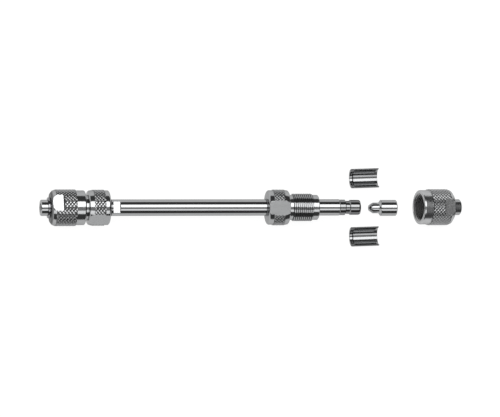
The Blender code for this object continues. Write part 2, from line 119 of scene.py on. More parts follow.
bench_mesh = bpy.data.meshes.new("bench")
bench_shape = bmesh.new()
bmesh.ops.create_grid(bench_shape, x_segments=1, y_segments=1, size=BENCH_SIZE / 2)
bench_shape.to_mesh(bench_mesh)
bench_shape.free()
bench = bpy.data.objects.new("bench", bench_mesh)
bench_material, bench_shader = new_material("bench_top")
bench_shader.inputs["Base Color"].default_value = BENCH_COLOUR
bench_shader.inputs["Roughness"].default_value = BENCH_ROUGHNESS
bench_shader.inputs["Specular IOR Level"].default_value = BENCH_SHINE
bench_shader.inputs["Emission Color"].default_value = (1, 1, 1, 1)
bench_tree = bench_material.node_tree
bench_rays = bench_tree.nodes.new("ShaderNodeLightPath")
seen_by = bench_rays.outputs["Is Camera Ray"]
for ray in ("Is Glossy Ray", "Is Transmission Ray"):
    either = bench_tree.nodes.new("ShaderNodeMath")
    either.operation = "MAXIMUM"
    bench_tree.links.new(seen_by, either.inputs[0])
    bench_tree.links.new(bench_rays.outputs[ray], either.inputs[1])
    seen_by = either.outputs[0]
bench_white = bench_tree.nodes.new("ShaderNodeMath")
bench_white.operation = "MULTIPLY"
bench_white.inputs[1].default_value = BENCH_GLOW
bench_tree.links.new(seen_by, bench_white.inputs[0])
bench_tree.links.new(bench_white.outputs[0], bench_shader.inputs["Emission Strength"])
bench_mesh.materials.append(bench_material)
bpy.context.scene.collection.objects.link(bench)

softbox(**BACK_BOX)
softbox(**FRONT_BOX)

# How bright the room is, by the sine of the height above the horizon. It is dim beyond the inlet.
ROOM_BRIGHTNESS = ((-0.02, 0.9), (0.08, 0.9), (0.10, 0.08), (0.72, 0.08), (0.86, 0.38), (1.0, 0.38))
ROOM_INLET_END = {"From Min": 0.45, "From Max": 0.75, "To Min": 1, "To Max": 0.15}
world = bpy.data.worlds.new("room")
bpy.context.scene.world = world
world.use_nodes = True
room = world.node_tree
room_direction = room.nodes.new("ShaderNodeTexCoord")
room_height = room.nodes.new("ShaderNodeSeparateXYZ")
room_share = room.nodes.new("ShaderNodeMapRange")
room_share.inputs["From Min"].default_value = -1
room_ramp = room.nodes.new("ShaderNodeValToRGB")
room_dimming = room.nodes.new("ShaderNodeMapRange")
for limit, value in ROOM_INLET_END.items():
    room_dimming.inputs[limit].default_value = value
room.links.new(room_height.outputs["X"], room_dimming.inputs["Value"])
room.links.new(room_dimming.outputs["Result"], room.nodes["Background"].inputs["Strength"])
room.links.new(room_direction.outputs["Generated"], room_height.inputs[0])
room.links.new(room_height.outputs["Z"], room_share.inputs["Value"])
room.links.new(room_share.outputs["Result"], room_ramp.inputs["Fac"])
room.links.new(room_ramp.outputs["Color"], room.nodes["Background"].inputs["Color"])
ramp_stops = room_ramp.color_ramp.elements
while len(ramp_stops) < len(ROOM_BRIGHTNESS):
    ramp_stops.new(0.5)
for stop, (height, brightness) in zip(ramp_stops, ROOM_BRIGHTNESS):
    stop.position = (height + 1) / 2
    stop.color = (brightness, brightness, brightness, 1)

# The cartridge tube
# Drawn stainless tube, turned down at both ends to a land, a groove with sloped walls and a
# rounded head, then polished. Two flats for a spanner are milled near the outlet end.
TUBE_STEPS = 96
TUBE_RADIUS = 4.1
TUBE_BORE = 2.0
HEAD_RADIUS = 3.75
HEAD_LENGTH = 5.2
HEAD_ROUNDING = 1.1
POCKET_RADIUS = 2.8
POCKET_DEPTH = 5.7
POCKET_EDGE = 0.1
NECK_RADIUS = 3.25
GROOVE_FLOOR = 1.8
GROOVE_WALL = 0.45
LAND_RADIUS = 3.9
LAND_LENGTH = 2.7
LAND_TAPER = 0.3
TUBE_FLAT_START = 11.2
TUBE_FLAT_LENGTH = 4.15
TUBE_FLAT_ACROSS = 6.0
TUBE_FLAT_ROLL = math.radians(-3.5)
ARC_STEPS = 8
BAND_HOLD = 0.08
CUTTER_REACH = 30
# Which of a piece's finishes its milled flats, their walls and its inside have
FLAT_FINISH = 1
WALL_FINISH = 2
INSIDE_FINISH = 3
SHARP_ANGLE = math.radians(23)
STEEL_COLOUR = (0.37, 0.375, 0.38, 1)
# Painted light: a lighter copy of the steel colour makes the loose cap look brighter lit.
LIT_STEEL_COLOUR = (0.46, 0.465, 0.47, 1)
STEEL_RIM = (0.6, 0.6, 0.6, 1)
# Painted sheen: a lighter copy of the steel colour makes the tube's and caps' flats brighter.
SHEEN_FLAT_COLOUR = (0.5, 0.505, 0.51, 1)
TUBE_FLAT_SLOPE = 0.45
FLAT_WALL_HEIGHT = 1.6
# Painted shade: the sloped walls at the ends of the flats are near black.
FLAT_WALL_SHADE_COLOUR = (0.09, 0.09, 0.09, 1)
FLAT_WALL_ROUGHNESS = 0.4
TUBE_FLAT_ROUGHNESS = 0.15
MILL_MARKS = 0.0000006
SMEAR_SHARE = 0.12
# Smears and hollows turn rougher and darker; the darkening in the hollows is painted shade.
SMEARS_AND_HOLLOW_SHADE = {"colour": 0.36, "roughness": 0.35}
TURNED = {"colour": 0.6, "roughness": 0.07}
TUBE_POLISH = {"roughness": 0.05, "marks": 0.00000015, "marks_per_mm": 6}
TURNED_END = {"Start": -1, "End": 200, "Top": 4.08, "Bottom": 3.95}


def place_of(x, y, z, turn, yaw=0.0):
    """From a piece's own millimetres, with Z outwards along the column, to its place on the bench."""
    turned = Matrix.Rotation(yaw, 4, "Z") @ Matrix.Rotation(turn, 4, "Y")
    return Matrix.Translation((x, y, z)) @ turned @ Matrix.Scale(MM, 4)


def arc(start, end):
    """Points of a quarter ellipse from one (z, radius) corner to another, leaving it radially.
    One more point just past its end keeps the band beside it true."""
    points = []
    for i in range(ARC_STEPS + 1):
        angle = math.pi / 2 * i / ARC_STEPS
        z = start[0] + (end[0] - start[0]) * (1 - math.cos(angle))
        points.append((z, start[1] + (end[1] - start[1]) * math.sin(angle)))
    points.append((end[0] + BAND_HOLD, end[1]))
    return points


def turned(outside, bore, steps):
    """A turned solid from its outside and its bore, each as (z, radius) from its low end up."""
    shape = bmesh.new()
    if bore:
        outline = [*reversed(outside), *bore]
    else:
        outline = [(outside[-1][0], 0), *reversed(outside), (outside[0][0], 0)]
    corners = [shape.verts.new((radius, 0, z)) for z, radius in outline]
    chain = [shape.edges.new(ends) for ends in zip(corners, corners[1:])]
    if bore:
        chain.append(shape.edges.new((corners[-1], corners[0])))
    bmesh.ops.spin(
        shape,
        geom=corners + chain,
        cent=(0, 0, 0),
        axis=(0, 0, 1),
        dvec=(0, 0, 0),
        angle=2 * math.pi,
        space=Matrix.Identity(4),
        steps=steps,
        use_merge=True,
    )
    bmesh.ops.remove_doubles(shape, verts=shape.verts, dist=1e-4)
    bmesh.ops.recalc_face_normals(shape, faces=shape.faces)
    return shape


def as_object(name, shape, finishes):
    """An object from a mesh that is still being worked on, with its materials."""
    mesh = bpy.data.meshes.new(name)
    for finish in finishes:
        mesh.materials.append(finish)
    shape.to_mesh(mesh)
    shape.free()
    made = bpy.data.objects.new(name, mesh)
    bpy.context.scene.collection.objects.link(made)
    return made


def flat_cutter(across, start, end, slope, side, roll, finishes):
    """A box that mills one spanner flat. It leaves the second finish on it, and the third, painted
    shade, on the sloped walls at its ends."""
    shape = bmesh.new()
    bmesh.ops.create_cube(shape, size=1)
    floor = [corner for corner in shape.verts if side * corner.co.x < 0]
    narrower = 1 - 2 * slope / (end - start)
    bmesh.ops.scale(shape, vec=(1, 1, narrower), verts=floor)
    size = (FLAT_WALL_HEIGHT, 2 * CUTTER_REACH, end - start)
    bmesh.ops.scale(shape, vec=size, verts=shape.verts)
    middle = (side * (across + FLAT_WALL_HEIGHT) / 2, 0, (start + end) / 2)
    bmesh.ops.translate(shape, vec=middle, verts=shape.verts)
    turn = Matrix.Rotation(roll, 3, "Z")
    bmesh.ops.rotate(shape, cent=(0, 0, 0), matrix=turn, verts=shape.verts)
    for face in shape.faces:
        reach = [corner.co.z for corner in face.verts]
        is_wall = max(reach) - min(reach) < 2 * slope
        face.material_index = WALL_FINISH if is_wall else FLAT_FINISH
    return as_object("flat_cutter", shape, finishes)


def carve(piece, cutters):
    """Takes the cutters off a piece, and removes them."""
    for cutter in cutters:
        change = piece.modifiers.new("cut", "BOOLEAN")
        change.object = cutter
    graph = bpy.context.evaluated_depsgraph_get()
    carved = bpy.data.meshes.new_from_object(piece.evaluated_get(graph))
    carved.name = piece.name
    piece.modifiers.clear()
    piece.data = carved
    for cutter in cutters:
        bpy.data.objects.remove(cutter)


def finish_piece(piece, place, body, slot, *nodes):
    """Sets a piece in its place, with its milled faces shaded flat, to stand for its solids."""
    piece.data.transform(place)
    piece.data.shade_smooth()
    piece.data.set_sharp_from_angle(angle=SHARP_ANGLE)
    for face in piece.data.polygons:
        face.use_smooth = face.material_index not in (FLAT_FINISH, WALL_FINISH)
    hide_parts(*nodes)
    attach(piece, body)


def new_group(name, numbers, outputs):
    """A node group that reads a place in a piece's own millimetres, and some numbers."""
    group = bpy.data.node_groups.new(name, "ShaderNodeTree")
    group.interface.new_socket("Place", in_out="INPUT", socket_type="NodeSocketVector")
    for number, value in numbers.items():
        socket = group.interface.new_socket(number, in_out="INPUT", socket_type="NodeSocketFloat")
        socket.default_value = value
    for output in outputs:
        group.interface.new_socket(output, in_out="OUTPUT", socket_type="NodeSocketFloat")
    given = group.nodes.new("NodeGroupInput")
    result = group.nodes.new("NodeGroupOutput")
    return group, given, result


def add_math(tree, operation, first, second=None):
    """A Math node on two sockets or numbers, and its result."""
    node = tree.nodes.new("ShaderNodeMath")
    node.operation = operation
    for socket, value in zip(node.inputs, (first, second)):
        if value is None:
            continue
        if isinstance(value, (int, float)):
            socket.default_value = value
        else:
            tree.links.new(value, socket)
    return node.outputs[0]


def make_turning_marks():
    """Rings that a lathe tool leaves: they change along the axis and outwards, never round it."""
    group, given, result = new_group("turning_marks", {"Per mm": 8, "Chatter": 0.3}, ["Height"])
    split = group.nodes.new("ShaderNodeSeparateXYZ")
    group.links.new(given.outputs["Place"], split.inputs[0])
    across = add_math(group, "POWER", split.outputs["X"], 2)
    up = add_math(group, "POWER", split.outputs["Y"], 2)
    radius = add_math(group, "SQRT", add_math(group, "ADD", across, up))
    rings = group.nodes.new("ShaderNodeCombineXYZ")
    group.links.new(split.outputs["Z"], rings.inputs["X"])
    group.links.new(radius, rings.inputs["Y"])
    fine = group.nodes.new("ShaderNodeTexNoise")
    fine.inputs["Detail"].default_value = 2
    group.links.new(rings.outputs[0], fine.inputs["Vector"])
    group.links.new(given.outputs["Per mm"], fine.inputs["Scale"])
    coarse = group.nodes.new("ShaderNodeTexNoise")
    coarse.inputs["Scale"].default_value = 1.3
    group.links.new(rings.outputs[0], coarse.inputs["Vector"])
    weighed = add_math(group, "MULTIPLY", coarse.outputs[0], given.outputs["Chatter"])
    group.links.new(add_math(group, "ADD", fine.outputs[0], weighed), result.inputs["Height"])
    return group


def make_handling():
    """Faint smears and matt patches from handling, between 0 and 1."""
    group, given, result = new_group("handling", {"Per mm": 0.25}, ["Mask"])
    smear = group.nodes.new("ShaderNodeTexNoise")
    smear.inputs["Detail"].default_value = 5
    smear.inputs["Distortion"].default_value = 1.2
    group.links.new(given.outputs["Place"], smear.inputs["Vector"])
    group.links.new(given.outputs["Per mm"], smear.inputs["Scale"])
    spread = group.nodes.new("ShaderNodeMapRange")
    spread.inputs["From Min"].default_value = 0.35
    spread.inputs["From Max"].default_value = 0.7
    group.links.new(smear.outputs[0], spread.inputs["Value"])
    group.links.new(spread.outputs["Result"], result.inputs["Mask"])
    return group


def make_hollows():
    """How deep a place lies between a top and a bottom radius, from 0 to 1, within a stretch of Z."""
    group, given, result = new_group(
        "hollows", {"Start": 0, "End": 1, "Top": 1, "Bottom": 0}, ["Mask"]
    )
    split = group.nodes.new("ShaderNodeSeparateXYZ")
    group.links.new(given.outputs["Place"], split.inputs[0])
    across = add_math(group, "POWER", split.outputs["X"], 2)
    up = add_math(group, "POWER", split.outputs["Y"], 2)
    radius = add_math(group, "SQRT", add_math(group, "ADD", across, up))
    depth = group.nodes.new("ShaderNodeMapRange")
    group.links.new(radius, depth.inputs["Value"])
    group.links.new(given.outputs["Top"], depth.inputs["From Min"])
    group.links.new(given.outputs["Bottom"], depth.inputs["From Max"])
    after = add_math(group, "GREATER_THAN", split.outputs["Z"], given.outputs["Start"])
    before = add_math(group, "LESS_THAN", split.outputs["Z"], given.outputs["End"])
    within = add_math(group, "MULTIPLY", after, before)
    mask = add_math(group, "MULTIPLY", within, depth.outputs["Result"])
    group.links.new(mask, result.inputs["Mask"])
    return group


TURNING_MARKS = make_turning_marks()
HANDLING = make_handling()
HOLLOWS = make_hollows()


def own_place(material, place):
    """A piece's own millimetres, with Z along its axis, for the patterns of its material."""
    tree = material.node_tree
    seen = tree.nodes.new("ShaderNodeTexCoord")
    mapping = tree.nodes.new("ShaderNodeMapping")
    mapping.vector_type = "TEXTURE"
    moved, turned_by, grown = place.decompose()
    mapping.inputs["Location"].default_value = moved
    mapping.inputs["Rotation"].default_value = turned_by.to_euler()
    mapping.inputs["Scale"].default_value = grown
    tree.links.new(seen.outputs["Object"], mapping.inputs["Vector"])
    return mapping.outputs[0]


def add_group(material, group, place, **numbers):
    """A shared effect in a material, at that piece's place, and its first result."""
    node = material.node_tree.nodes.new("ShaderNodeGroup")
    node.node_tree = group
    for number, value in numbers.items():
        node.inputs[number.replace("_", " ")].default_value = value
    material.node_tree.links.new(place, node.inputs["Place"])
    return node.outputs[0]


def add_range(material, value, low, high, socket):
    """Feeds a socket with a mask, spread between two values."""
    tree = material.node_tree
    spread = tree.nodes.new("ShaderNodeMapRange")
    spread.inputs["To Min"].default_value = low
    spread.inputs["To Max"].default_value = high
    tree.links.new(value, spread.inputs["Value"])
    tree.links.new(spread.outputs["Result"], socket)


def add_colours(material, value, low, high, shader):
    """Feeds the base colour with a mask, from one colour to another."""
    tree = material.node_tree
    mix = tree.nodes.new("ShaderNodeMix")
    mix.data_type = "RGBA"
    mix.inputs["A"].default_value = low
    mix.inputs["B"].default_value = high
    tree.links.new(value, mix.inputs["Factor"])
    tree.links.new(mix.outputs["Result"], shader.inputs["Base Color"])


def add_bump(material, height, depth, shader):
    """Feeds the shader's normal with a height, which is depth metres deep."""
    tree = material.node_tree
    bump = tree.nodes.new("ShaderNodeBump")
    bump.inputs["Strength"].default_value = 1
    bump.inputs["Distance"].default_value = depth
    tree.links.new(height, bump.inputs["Height"])
    tree.links.new(bump.outputs["Normal"], shader.inputs["Normal"])


def darker(colour, share):
    return (*(share * part for part in colour[:3]), 1)


def steel(name, place, roughness, marks, marks_per_mm, colour=STEEL_COLOUR, hollows=(), dull=SMEARS_AND_HOLLOW_SHADE):
    """Stainless steel off the lathe or polishing wheel; hollows are rougher, with painted shade."""
    material, shader = new_material(name)
    own = own_place(material, place)
    shader.inputs["Metallic"].default_value = 1
    shader.inputs["Specular Tint"].default_value = STEEL_RIM
    smears_and_hollows = add_group(material, HANDLING, own, Per_mm=0.25)
    smears_and_hollows = add_math(material.node_tree, "MULTIPLY", smears_and_hollows, SMEAR_SHARE)
    # The hollows' masks add painted shade to the smears.
    for hollow in hollows:
        deep = add_group(material, HOLLOWS, own, **hollow)
        smears_and_hollows = add_math(material.node_tree, "MAXIMUM", smears_and_hollows, deep)
    add_range(material, smears_and_hollows, 0.85 * roughness, dull["roughness"], shader.inputs["Roughness"])
    add_colours(material, smears_and_hollows, colour, darker(colour, dull["colour"]), shader)
    rings = add_group(material, TURNING_MARKS, own, Per_mm=marks_per_mm)
    add_bump(material, rings, marks, shader)
    return material


def milled_steel(name, place, roughness, colour):
    """Steel with the fine straight marks that an end mill leaves across a spanner flat."""
    material, shader = new_material(name)
    own = own_place(material, place)
    tree = material.node_tree
    shader.inputs["Metallic"].default_value = 1
    stretched = tree.nodes.new("ShaderNodeMapping")
    stretched.inputs["Scale"].default_value = (0.3, 0.3, 9)
    tree.links.new(own, stretched.inputs["Vector"])
    strokes = tree.nodes.new("ShaderNodeTexNoise")
    strokes.inputs["Scale"].default_value = 1
    strokes.inputs["Detail"].default_value = 3
    tree.links.new(stretched.outputs[0], strokes.inputs["Vector"])
    smears = add_group(material, HANDLING, own, Per_mm=0.3)
    add_range(material, smears, 0.9 * roughness, 1.15 * roughness, shader.inputs["Roughness"])
    add_colours(material, strokes.outputs[0], colour, darker(colour, 0.9), shader)
    add_bump(material, strokes.outputs[0], MILL_MARKS, shader)
    return material


def tube_end():
    """The outside of one end of the tube, as (distance from the end, radius)."""
    floor_start = HEAD_LENGTH + GROOVE_WALL
    floor_end = floor_start + GROOVE_FLOOR
    groove_end = floor_end + GROOVE_WALL
    land_end = groove_end + LAND_LENGTH
    return [
        *arc((0, POCKET_RADIUS + POCKET_EDGE), (HEAD_ROUNDING, HEAD_RADIUS)),
        (HEAD_LENGTH, HEAD_RADIUS),
        (floor_start, NECK_RADIUS),
        (floor_end, NECK_RADIUS),
        (groove_end, LAND_RADIUS),
        (land_end, LAND_RADIUS),
        (land_end + LAND_TAPER, TUBE_RADIUS),
    ]


tube_length = (inlet_end - outlet_end) / MM
tube_place = place_of(outlet_end, 0, axis_height, math.radians(90))
one_end = tube_end()
tube_outside = one_end + [(tube_length - z, radius) for z, radius in reversed(one_end)]
half_bore = [(0, POCKET_RADIUS), (POCKET_DEPTH, POCKET_RADIUS), (POCKET_DEPTH, TUBE_BORE)]
tube_bore = half_bore + [(tube_length - z, radius) for z, radius in reversed(half_bore)]
tube_steel = steel("polished_tube", tube_place, hollows=(TURNED_END,), dull=TURNED, **TUBE_POLISH)
tube_finishes = (
    tube_steel,
    milled_steel("milled_tube_flat", tube_place, TUBE_FLAT_ROUGHNESS, SHEEN_FLAT_COLOUR),
    milled_steel("tube_shaded_flat_wall", tube_place, FLAT_WALL_ROUGHNESS, FLAT_WALL_SHADE_COLOUR),
)
tube = as_object("tube", turned(tube_outside, tube_bore, TUBE_STEPS), tube_finishes)
tube_flat_end = TUBE_FLAT_START + TUBE_FLAT_LENGTH
tube_flat = (TUBE_FLAT_ACROSS, TUBE_FLAT_START, tube_flat_end, TUBE_FLAT_SLOPE)
carve(tube, [flat_cutter(*tube_flat, side, TUBE_FLAT_ROLL, tube_finishes) for side in (1, -1)])
finish_piece(tube, tube_place, "column", "polished_steel", "cartridge_tube")

# The packing in the tube
# Fine porous silica slurry-packed into the bore, held by a sintered steel frit at the bottom of
# each end pocket. A plastic ring over each frit seals on the nose that is pressed into it.
SILICA = {
    "colour": (0.88, 0.87, 0.84, 1),
    "grain_per_mm": 30,
    "depth": 0.00001,
    "metallic": 0,
    "roughness": 0.8,
}
FRIT_STEEL = {
    "colour": (0.36, 0.36, 0.35, 1),
    "grain_per_mm": 20,
    "depth": 0.00001,
    "metallic": 0.9,
    "roughness": 0.5,
}
SEAL_COLOUR = (0.78, 0.78, 0.76, 1)


def grains(name, place, colour, grain_per_mm, depth, metallic, roughness):
    """Small grains pressed or sintered together."""
    material, shader = new_material(name)
    own = own_place(material, place)
    tree = material.node_tree
    shader.inputs["Metallic"].default_value = metallic
    cells = tree.nodes.new("ShaderNodeTexVoronoi")
    cells.inputs["Scale"].default_value = grain_per_mm
    tree.links.new(own, cells.inputs["Vector"])
    grain = cells.outputs["Distance"]
    add_range(material, grain, roughness, 1.2 * roughness, shader.inputs["Roughness"])
    add_colours(material, grain, colour, darker(colour, 0.75), shader)
    add_bump(material, grain, -depth, shader)
    return material


def machined_plastic(name, place):
    """White fluoroplastic, turned to size."""
    material, shader = new_material(name)
    own = own_place(material, place)
    shader.inputs["IOR"].default_value = 1.6
    clouds = add_group(material, HANDLING, own, Per_mm=1.5)
    add_colours(material, clouds, SEAL_COLOUR, darker(SEAL_COLOUR, 0.9), shader)
    add_range(material, clouds, 0.4, 0.5, shader.inputs["Roughness"])
    add_bump(material, add_group(material, TURNING_MARKS, own, Per_mm=10), 0.000002, shader)
    return material


def dress(material, slot, *nodes):
    """Gives solids whose shape is right their finish."""
    for name in nodes:
        node = frame["nodes"][name]
        node.data.materials.clear()
        node.data.materials.append(material)


tube_silica = grains("packed_silica", tube_place, **SILICA)
tube_frit_steel = grains("sintered_tube_frit", tube_place, **FRIT_STEEL)
tube_seal_plastic = machined_plastic("tube_seal_plastic", tube_place)
dress(tube_silica, "silica_packing", "packed_bed")
dress(tube_frit_steel, "sintered_steel", "outlet_frit", "inlet_frit")
dress(tube_seal_plastic, "seal_plastic", "outlet_seat_ring", "inlet_seat_ring")

# The half-shells
# Turned as one sleeve with a lip inside one end, then sawn in two. The lip drops into the
# tube's groove. Two grip the outlet end, and two lie hollow side up beside the inlet end.
SHELL_STEPS = 96
SHELL_LENGTH = 14.4
SHELL_RADIUS = 4.85
SHELL_BORE = 4.15
SHELL_EDGE = 0.3
LIP_WIDTH = 1.4
LIP_RADIUS = 3.4
LIP_SLOPE = 0.675
HALF_SAW_CUT = 0.15
SHELL_HOLLOW = {"Start": -1, "End": 20, "Top": 4.6, "Bottom": 4.4}
# Painted shade: the half-shells' bore and lip are darker, as well as rougher.
ROUGH_SHADED_BORE = {"colour": 0.75, "roughness": 0.14}
SHELL_POLISH = {"roughness": 0.08, "marks": 0.0000004, "marks_per_mm": 5}
SHELL_YAW = math.radians(1.75)
SHELL_SEAT = 7.25


def half_shell():
    """Half of the sleeve, on the side of +X, with its lip at the low end."""
    outside = [
        (0, SHELL_RADIUS - SHELL_EDGE),
        (SHELL_EDGE, SHELL_RADIUS),
        (SHELL_LENGTH - SHELL_EDGE / 2, SHELL_RADIUS),
        (SHELL_LENGTH, SHELL_RADIUS - SHELL_EDGE / 2),
    ]
    bore = [
        (0, LIP_RADIUS),
        (LIP_WIDTH, LIP_RADIUS),
        (LIP_WIDTH + LIP_SLOPE, SHELL_BORE),
        (SHELL_LENGTH - SHELL_EDGE / 2, SHELL_BORE),
        (SHELL_LENGTH, SHELL_BORE + SHELL_EDGE / 2),
    ]
    shape = turned(outside, bore, SHELL_STEPS)
    everything = [*shape.verts, *shape.edges, *shape.faces]
    sawn = bmesh.ops.bisect_plane(
        shape,
        geom=everything,
        dist=1e-5,
        plane_co=(HALF_SAW_CUT, 0, 0),
        plane_no=(1, 0, 0),
        clear_inner=True,
    )
    open_edges = [item for item in sawn["geom_cut"] if isinstance(item, bmesh.types.BMEdge)]
    bmesh.ops.holes_fill(shape, edges=open_edges)
    bmesh.ops.recalc_face_normals(shape, faces=shape.faces)
    return shape


def make_half_shell(name, place, node):
    """A half-shell in its place, for the solid that it stands for."""
    shell_steel = steel(f"{name}_steel", place, hollows=(SHELL_HOLLOW,), dull=ROUGH_SHADED_BORE, **SHELL_POLISH)
    shell = as_object(name, half_shell(), (shell_steel,))
    finish_piece(shell, place, "column", "polished_steel", node)


for side in ("left", "right"):
    lowest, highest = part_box(f"inlet_shell_{side}")
    middle = (lowest + highest) / 2
    start = Vector((math.cos(SHELL_YAW), math.sin(SHELL_YAW), 0)) * SHELL_LENGTH / 2 * MM
    shell_place = place_of(
        middle.x - start.x, middle.y - start.y, SHELL_RADIUS * MM, math.radians(90), SHELL_YAW
    )
    make_half_shell(f"loose_shell_{side}", shell_place, f"inlet_shell_{side}")

outlet_place = place_of(outlet_end, 0, axis_height, math.radians(-90))
for side, roll in (("front", 180), ("back", 0)):
    seat = Matrix.Translation((0, 0, -SHELL_SEAT)) @ Matrix.Rotation(math.radians(roll), 4, "Z")
    make_half_shell(f"clamped_shell_{side}", outlet_place @ seat, f"outlet_shell_{side}")

# The guard cartridge and the outlet adapter
# Two turned plugs with the same outline: a conical nose that seals in the tube's seat ring, a
# shoulder, and a body that the half-shells hold straight. The guard holds a short bed of its own.
GUARD_STEPS = 96
GUARD_LENGTH = 14.1
GUARD_RADIUS = 4.0
GUARD_EDGE = 0.4
NOSE_TIP = 1.4
NOSE_RADIUS = 2.68
NOSE_CONE = 2.05
NOSE_LENGTH = 5.15
NOSE_EDGE = 0.15
NOSE_FILLET = 0.1
SHOULDER = 0.9
PASSAGE = 0.4
CHAMBER_START = 6.3
CHAMBER_RADIUS = 2.6
ADAPTER_SEAT = 1.3
PLUG_POLISH = {"roughness": 0.06, "marks": 0.0000003, "marks_per_mm": 6}


def plug_outline():
    """The outside of the guard and of the adapter, from the tip of the nose."""
    body_start = NOSE_LENGTH + SHOULDER
    return [
        (0, NOSE_TIP - NOSE_EDGE),
        (NOSE_EDGE, NOSE_TIP + NOSE_FILLET / 2),
        (NOSE_CONE - NOSE_EDGE, NOSE_RADIUS - NOSE_FILLET),
        (NOSE_CONE + NOSE_EDGE, NOSE_RADIUS),
        (NOSE_LENGTH - NOSE_FILLET, NOSE_RADIUS),
        (NOSE_LENGTH, NOSE_RADIUS + NOSE_FILLET),
        (body_start - NOSE_EDGE, GUARD_RADIUS - NOSE_EDGE),
        (body_start + NOSE_FILLET, GUARD_RADIUS),
        (GUARD_LENGTH - GUARD_EDGE, GUARD_RADIUS),
        (GUARD_LENGTH, GUARD_RADIUS - GUARD_EDGE),
    ]


guard_low, guard_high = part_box("guard_body")
guard_aside = (guard_low.y + guard_high.y) / 2
guard_place = place_of(guard_low.x, guard_aside, GUARD_RADIUS * MM, math.radians(90))
guard_bore = [
    (0, PASSAGE),
    (CHAMBER_START, PASSAGE),
    (CHAMBER_START, CHAMBER_RADIUS),
    (GUARD_LENGTH, CHAMBER_RADIUS),
]
guard_steel = steel("polished_guard", guard_place, **PLUG_POLISH)
guard = as_object("guard_cartridge", turned(plug_outline(), guard_bore, GUARD_STEPS), (guard_steel,))
finish_piece(guard, guard_place, "column", "polished_steel", "guard_body")
guard_silica = grains("guard_silica", guard_place, **SILICA)
guard_frit_steel = grains("sintered_guard_frit", guard_place, **FRIT_STEEL)
guard_ring_plastic = machined_plastic("guard_ring_plastic", guard_place)
dress(guard_silica, "silica_packing", "guard_bed")
dress(guard_frit_steel, "sintered_steel", "guard_front_frit", "guard_back_frit")
dress(guard_ring_plastic, "seal_plastic", "guard_end_ring")

adapter_place = outlet_place @ Matrix.Translation((0, 0, -ADAPTER_SEAT))
adapter_bore = [(0, PASSAGE), (GUARD_LENGTH, PASSAGE)]
adapter_steel = steel("polished_adapter", adapter_place, **PLUG_POLISH)
adapter = as_object("adapter", turned(plug_outline(), adapter_bore, GUARD_STEPS), (adapter_steel,))
finish_piece(adapter, adapter_place, "column", "polished_steel", "outlet_adapter")

# The coupling nuts
# Each is turned from bar: a diamond-knurled ring with two spanner flats across it, and a
# threaded sleeve with a plain lead. A collar inside the ring pulls on the half-shells.
NUT_STEPS = 64
NUT_PITCH = 1.0
NUT_BAND_RADIUS = 8.6
NUT_FLAT_ACROSS = 16.0
NUT_FLAT_SLOPE = 1.2
NUT_FLAT_CLEARANCE = 1.5
NUT_ROUGHNESS = 0.13
NUT_TURNING = {"marks": 0.0000006, "marks_per_mm": 7}
MADE_UP_FLAT_ROUGHNESS = 0.2
SLID_BACK_FLAT_ROUGHNESS = 0.4
KNURL_STEP = 0.15
KNURL_RISE = 0.32
KNURL_FLAT = 0.5
KNURL_TOLERANCE = 0.01
KNURL_SHADE = 0.02
SHOULDER_RADIUS = 8.45
SHOULDER_CHAMFER = 0.4
RING_LENGTH = 10.8
RING_FACE = 7.2
RING_ROUNDING = 1.1
RING_KNURL = {"start": 2.6, "length": 5.7, "radius": 8.9, "rows": 7}
COLLAR_BORE = 4.25
COLLAR_LENGTH = 2.4
COLLAR_COUNTERSINK = 0.6
SLEEVE_BORE = 5.0
RELIEF_RADIUS = 6.25
RELIEF_END = 12.7
THREAD_CREST = 6.85
THREAD_ROOT = 6.35
THREAD_END = 22.9
THREAD_EDGE = 0.35
SLEEVE_END = 25.9
SLEEVE_EDGE = 0.4
COUPLING_SEAT = 9.85
OUTLET_COUPLING_ROLL = math.radians(-48)
INLET_COUPLING_ROLL = math.radians(2)
THREAD_STEPS = 64
THREAD_OPENING = 0.4


def knurl_band(start, length, radius, rows):
    """The outline of a knurled band: a short step up to it, and a row for each half diamond."""
    first = start + KNURL_STEP
    pitch = (length - KNURL_STEP) / rows
    points = [(first + i * pitch, radius) for i in range(rows + 1)]
    return [(start - BAND_HOLD, NUT_BAND_RADIUS), (start, NUT_BAND_RADIUS), *points]


def cut_knurl(shape, start, length, radius, rows):
    """Cuts the diamonds of a knurl into its band. The rows at its ends run out half way up."""
    first = start + KNURL_STEP
    pitch = (length - KNURL_STEP) / rows
    tips = []
    for corner in list(shape.verts):
        row = round((corner.co.z - first) / pitch)
        out = math.hypot(corner.co.x, corner.co.y)
        if abs(out - radius) > KNURL_TOLERANCE or not 0 <= row <= rows:
            continue
        column = round(math.atan2(corner.co.y, corner.co.x) / (2 * math.pi / NUT_STEPS))
        is_tip = (row + column) % 2
        is_end = row in (0, rows)
        if is_tip and is_end:
            continue
        move = KNURL_FLAT * KNURL_RISE if is_tip else (KNURL_FLAT - 1) * KNURL_RISE
        corner.co.x *= (radius + move) / radius
        corner.co.y *= (radius + move) / radius
        if is_tip:
            tips.append(corner)
    faces = list({face for tip in tips for face in tip.link_faces})
    bmesh.ops.triangulate(shape, faces=faces, quad_method="SHORT_EDGE")
    bmesh.ops.bevel(
        shape,
        geom=tips,
        offset=100 * KNURL_FLAT,
        offset_type="PERCENT",
        segments=1,
        profile=0.5,
        affect="VERTICES",
        material=-1,
    )


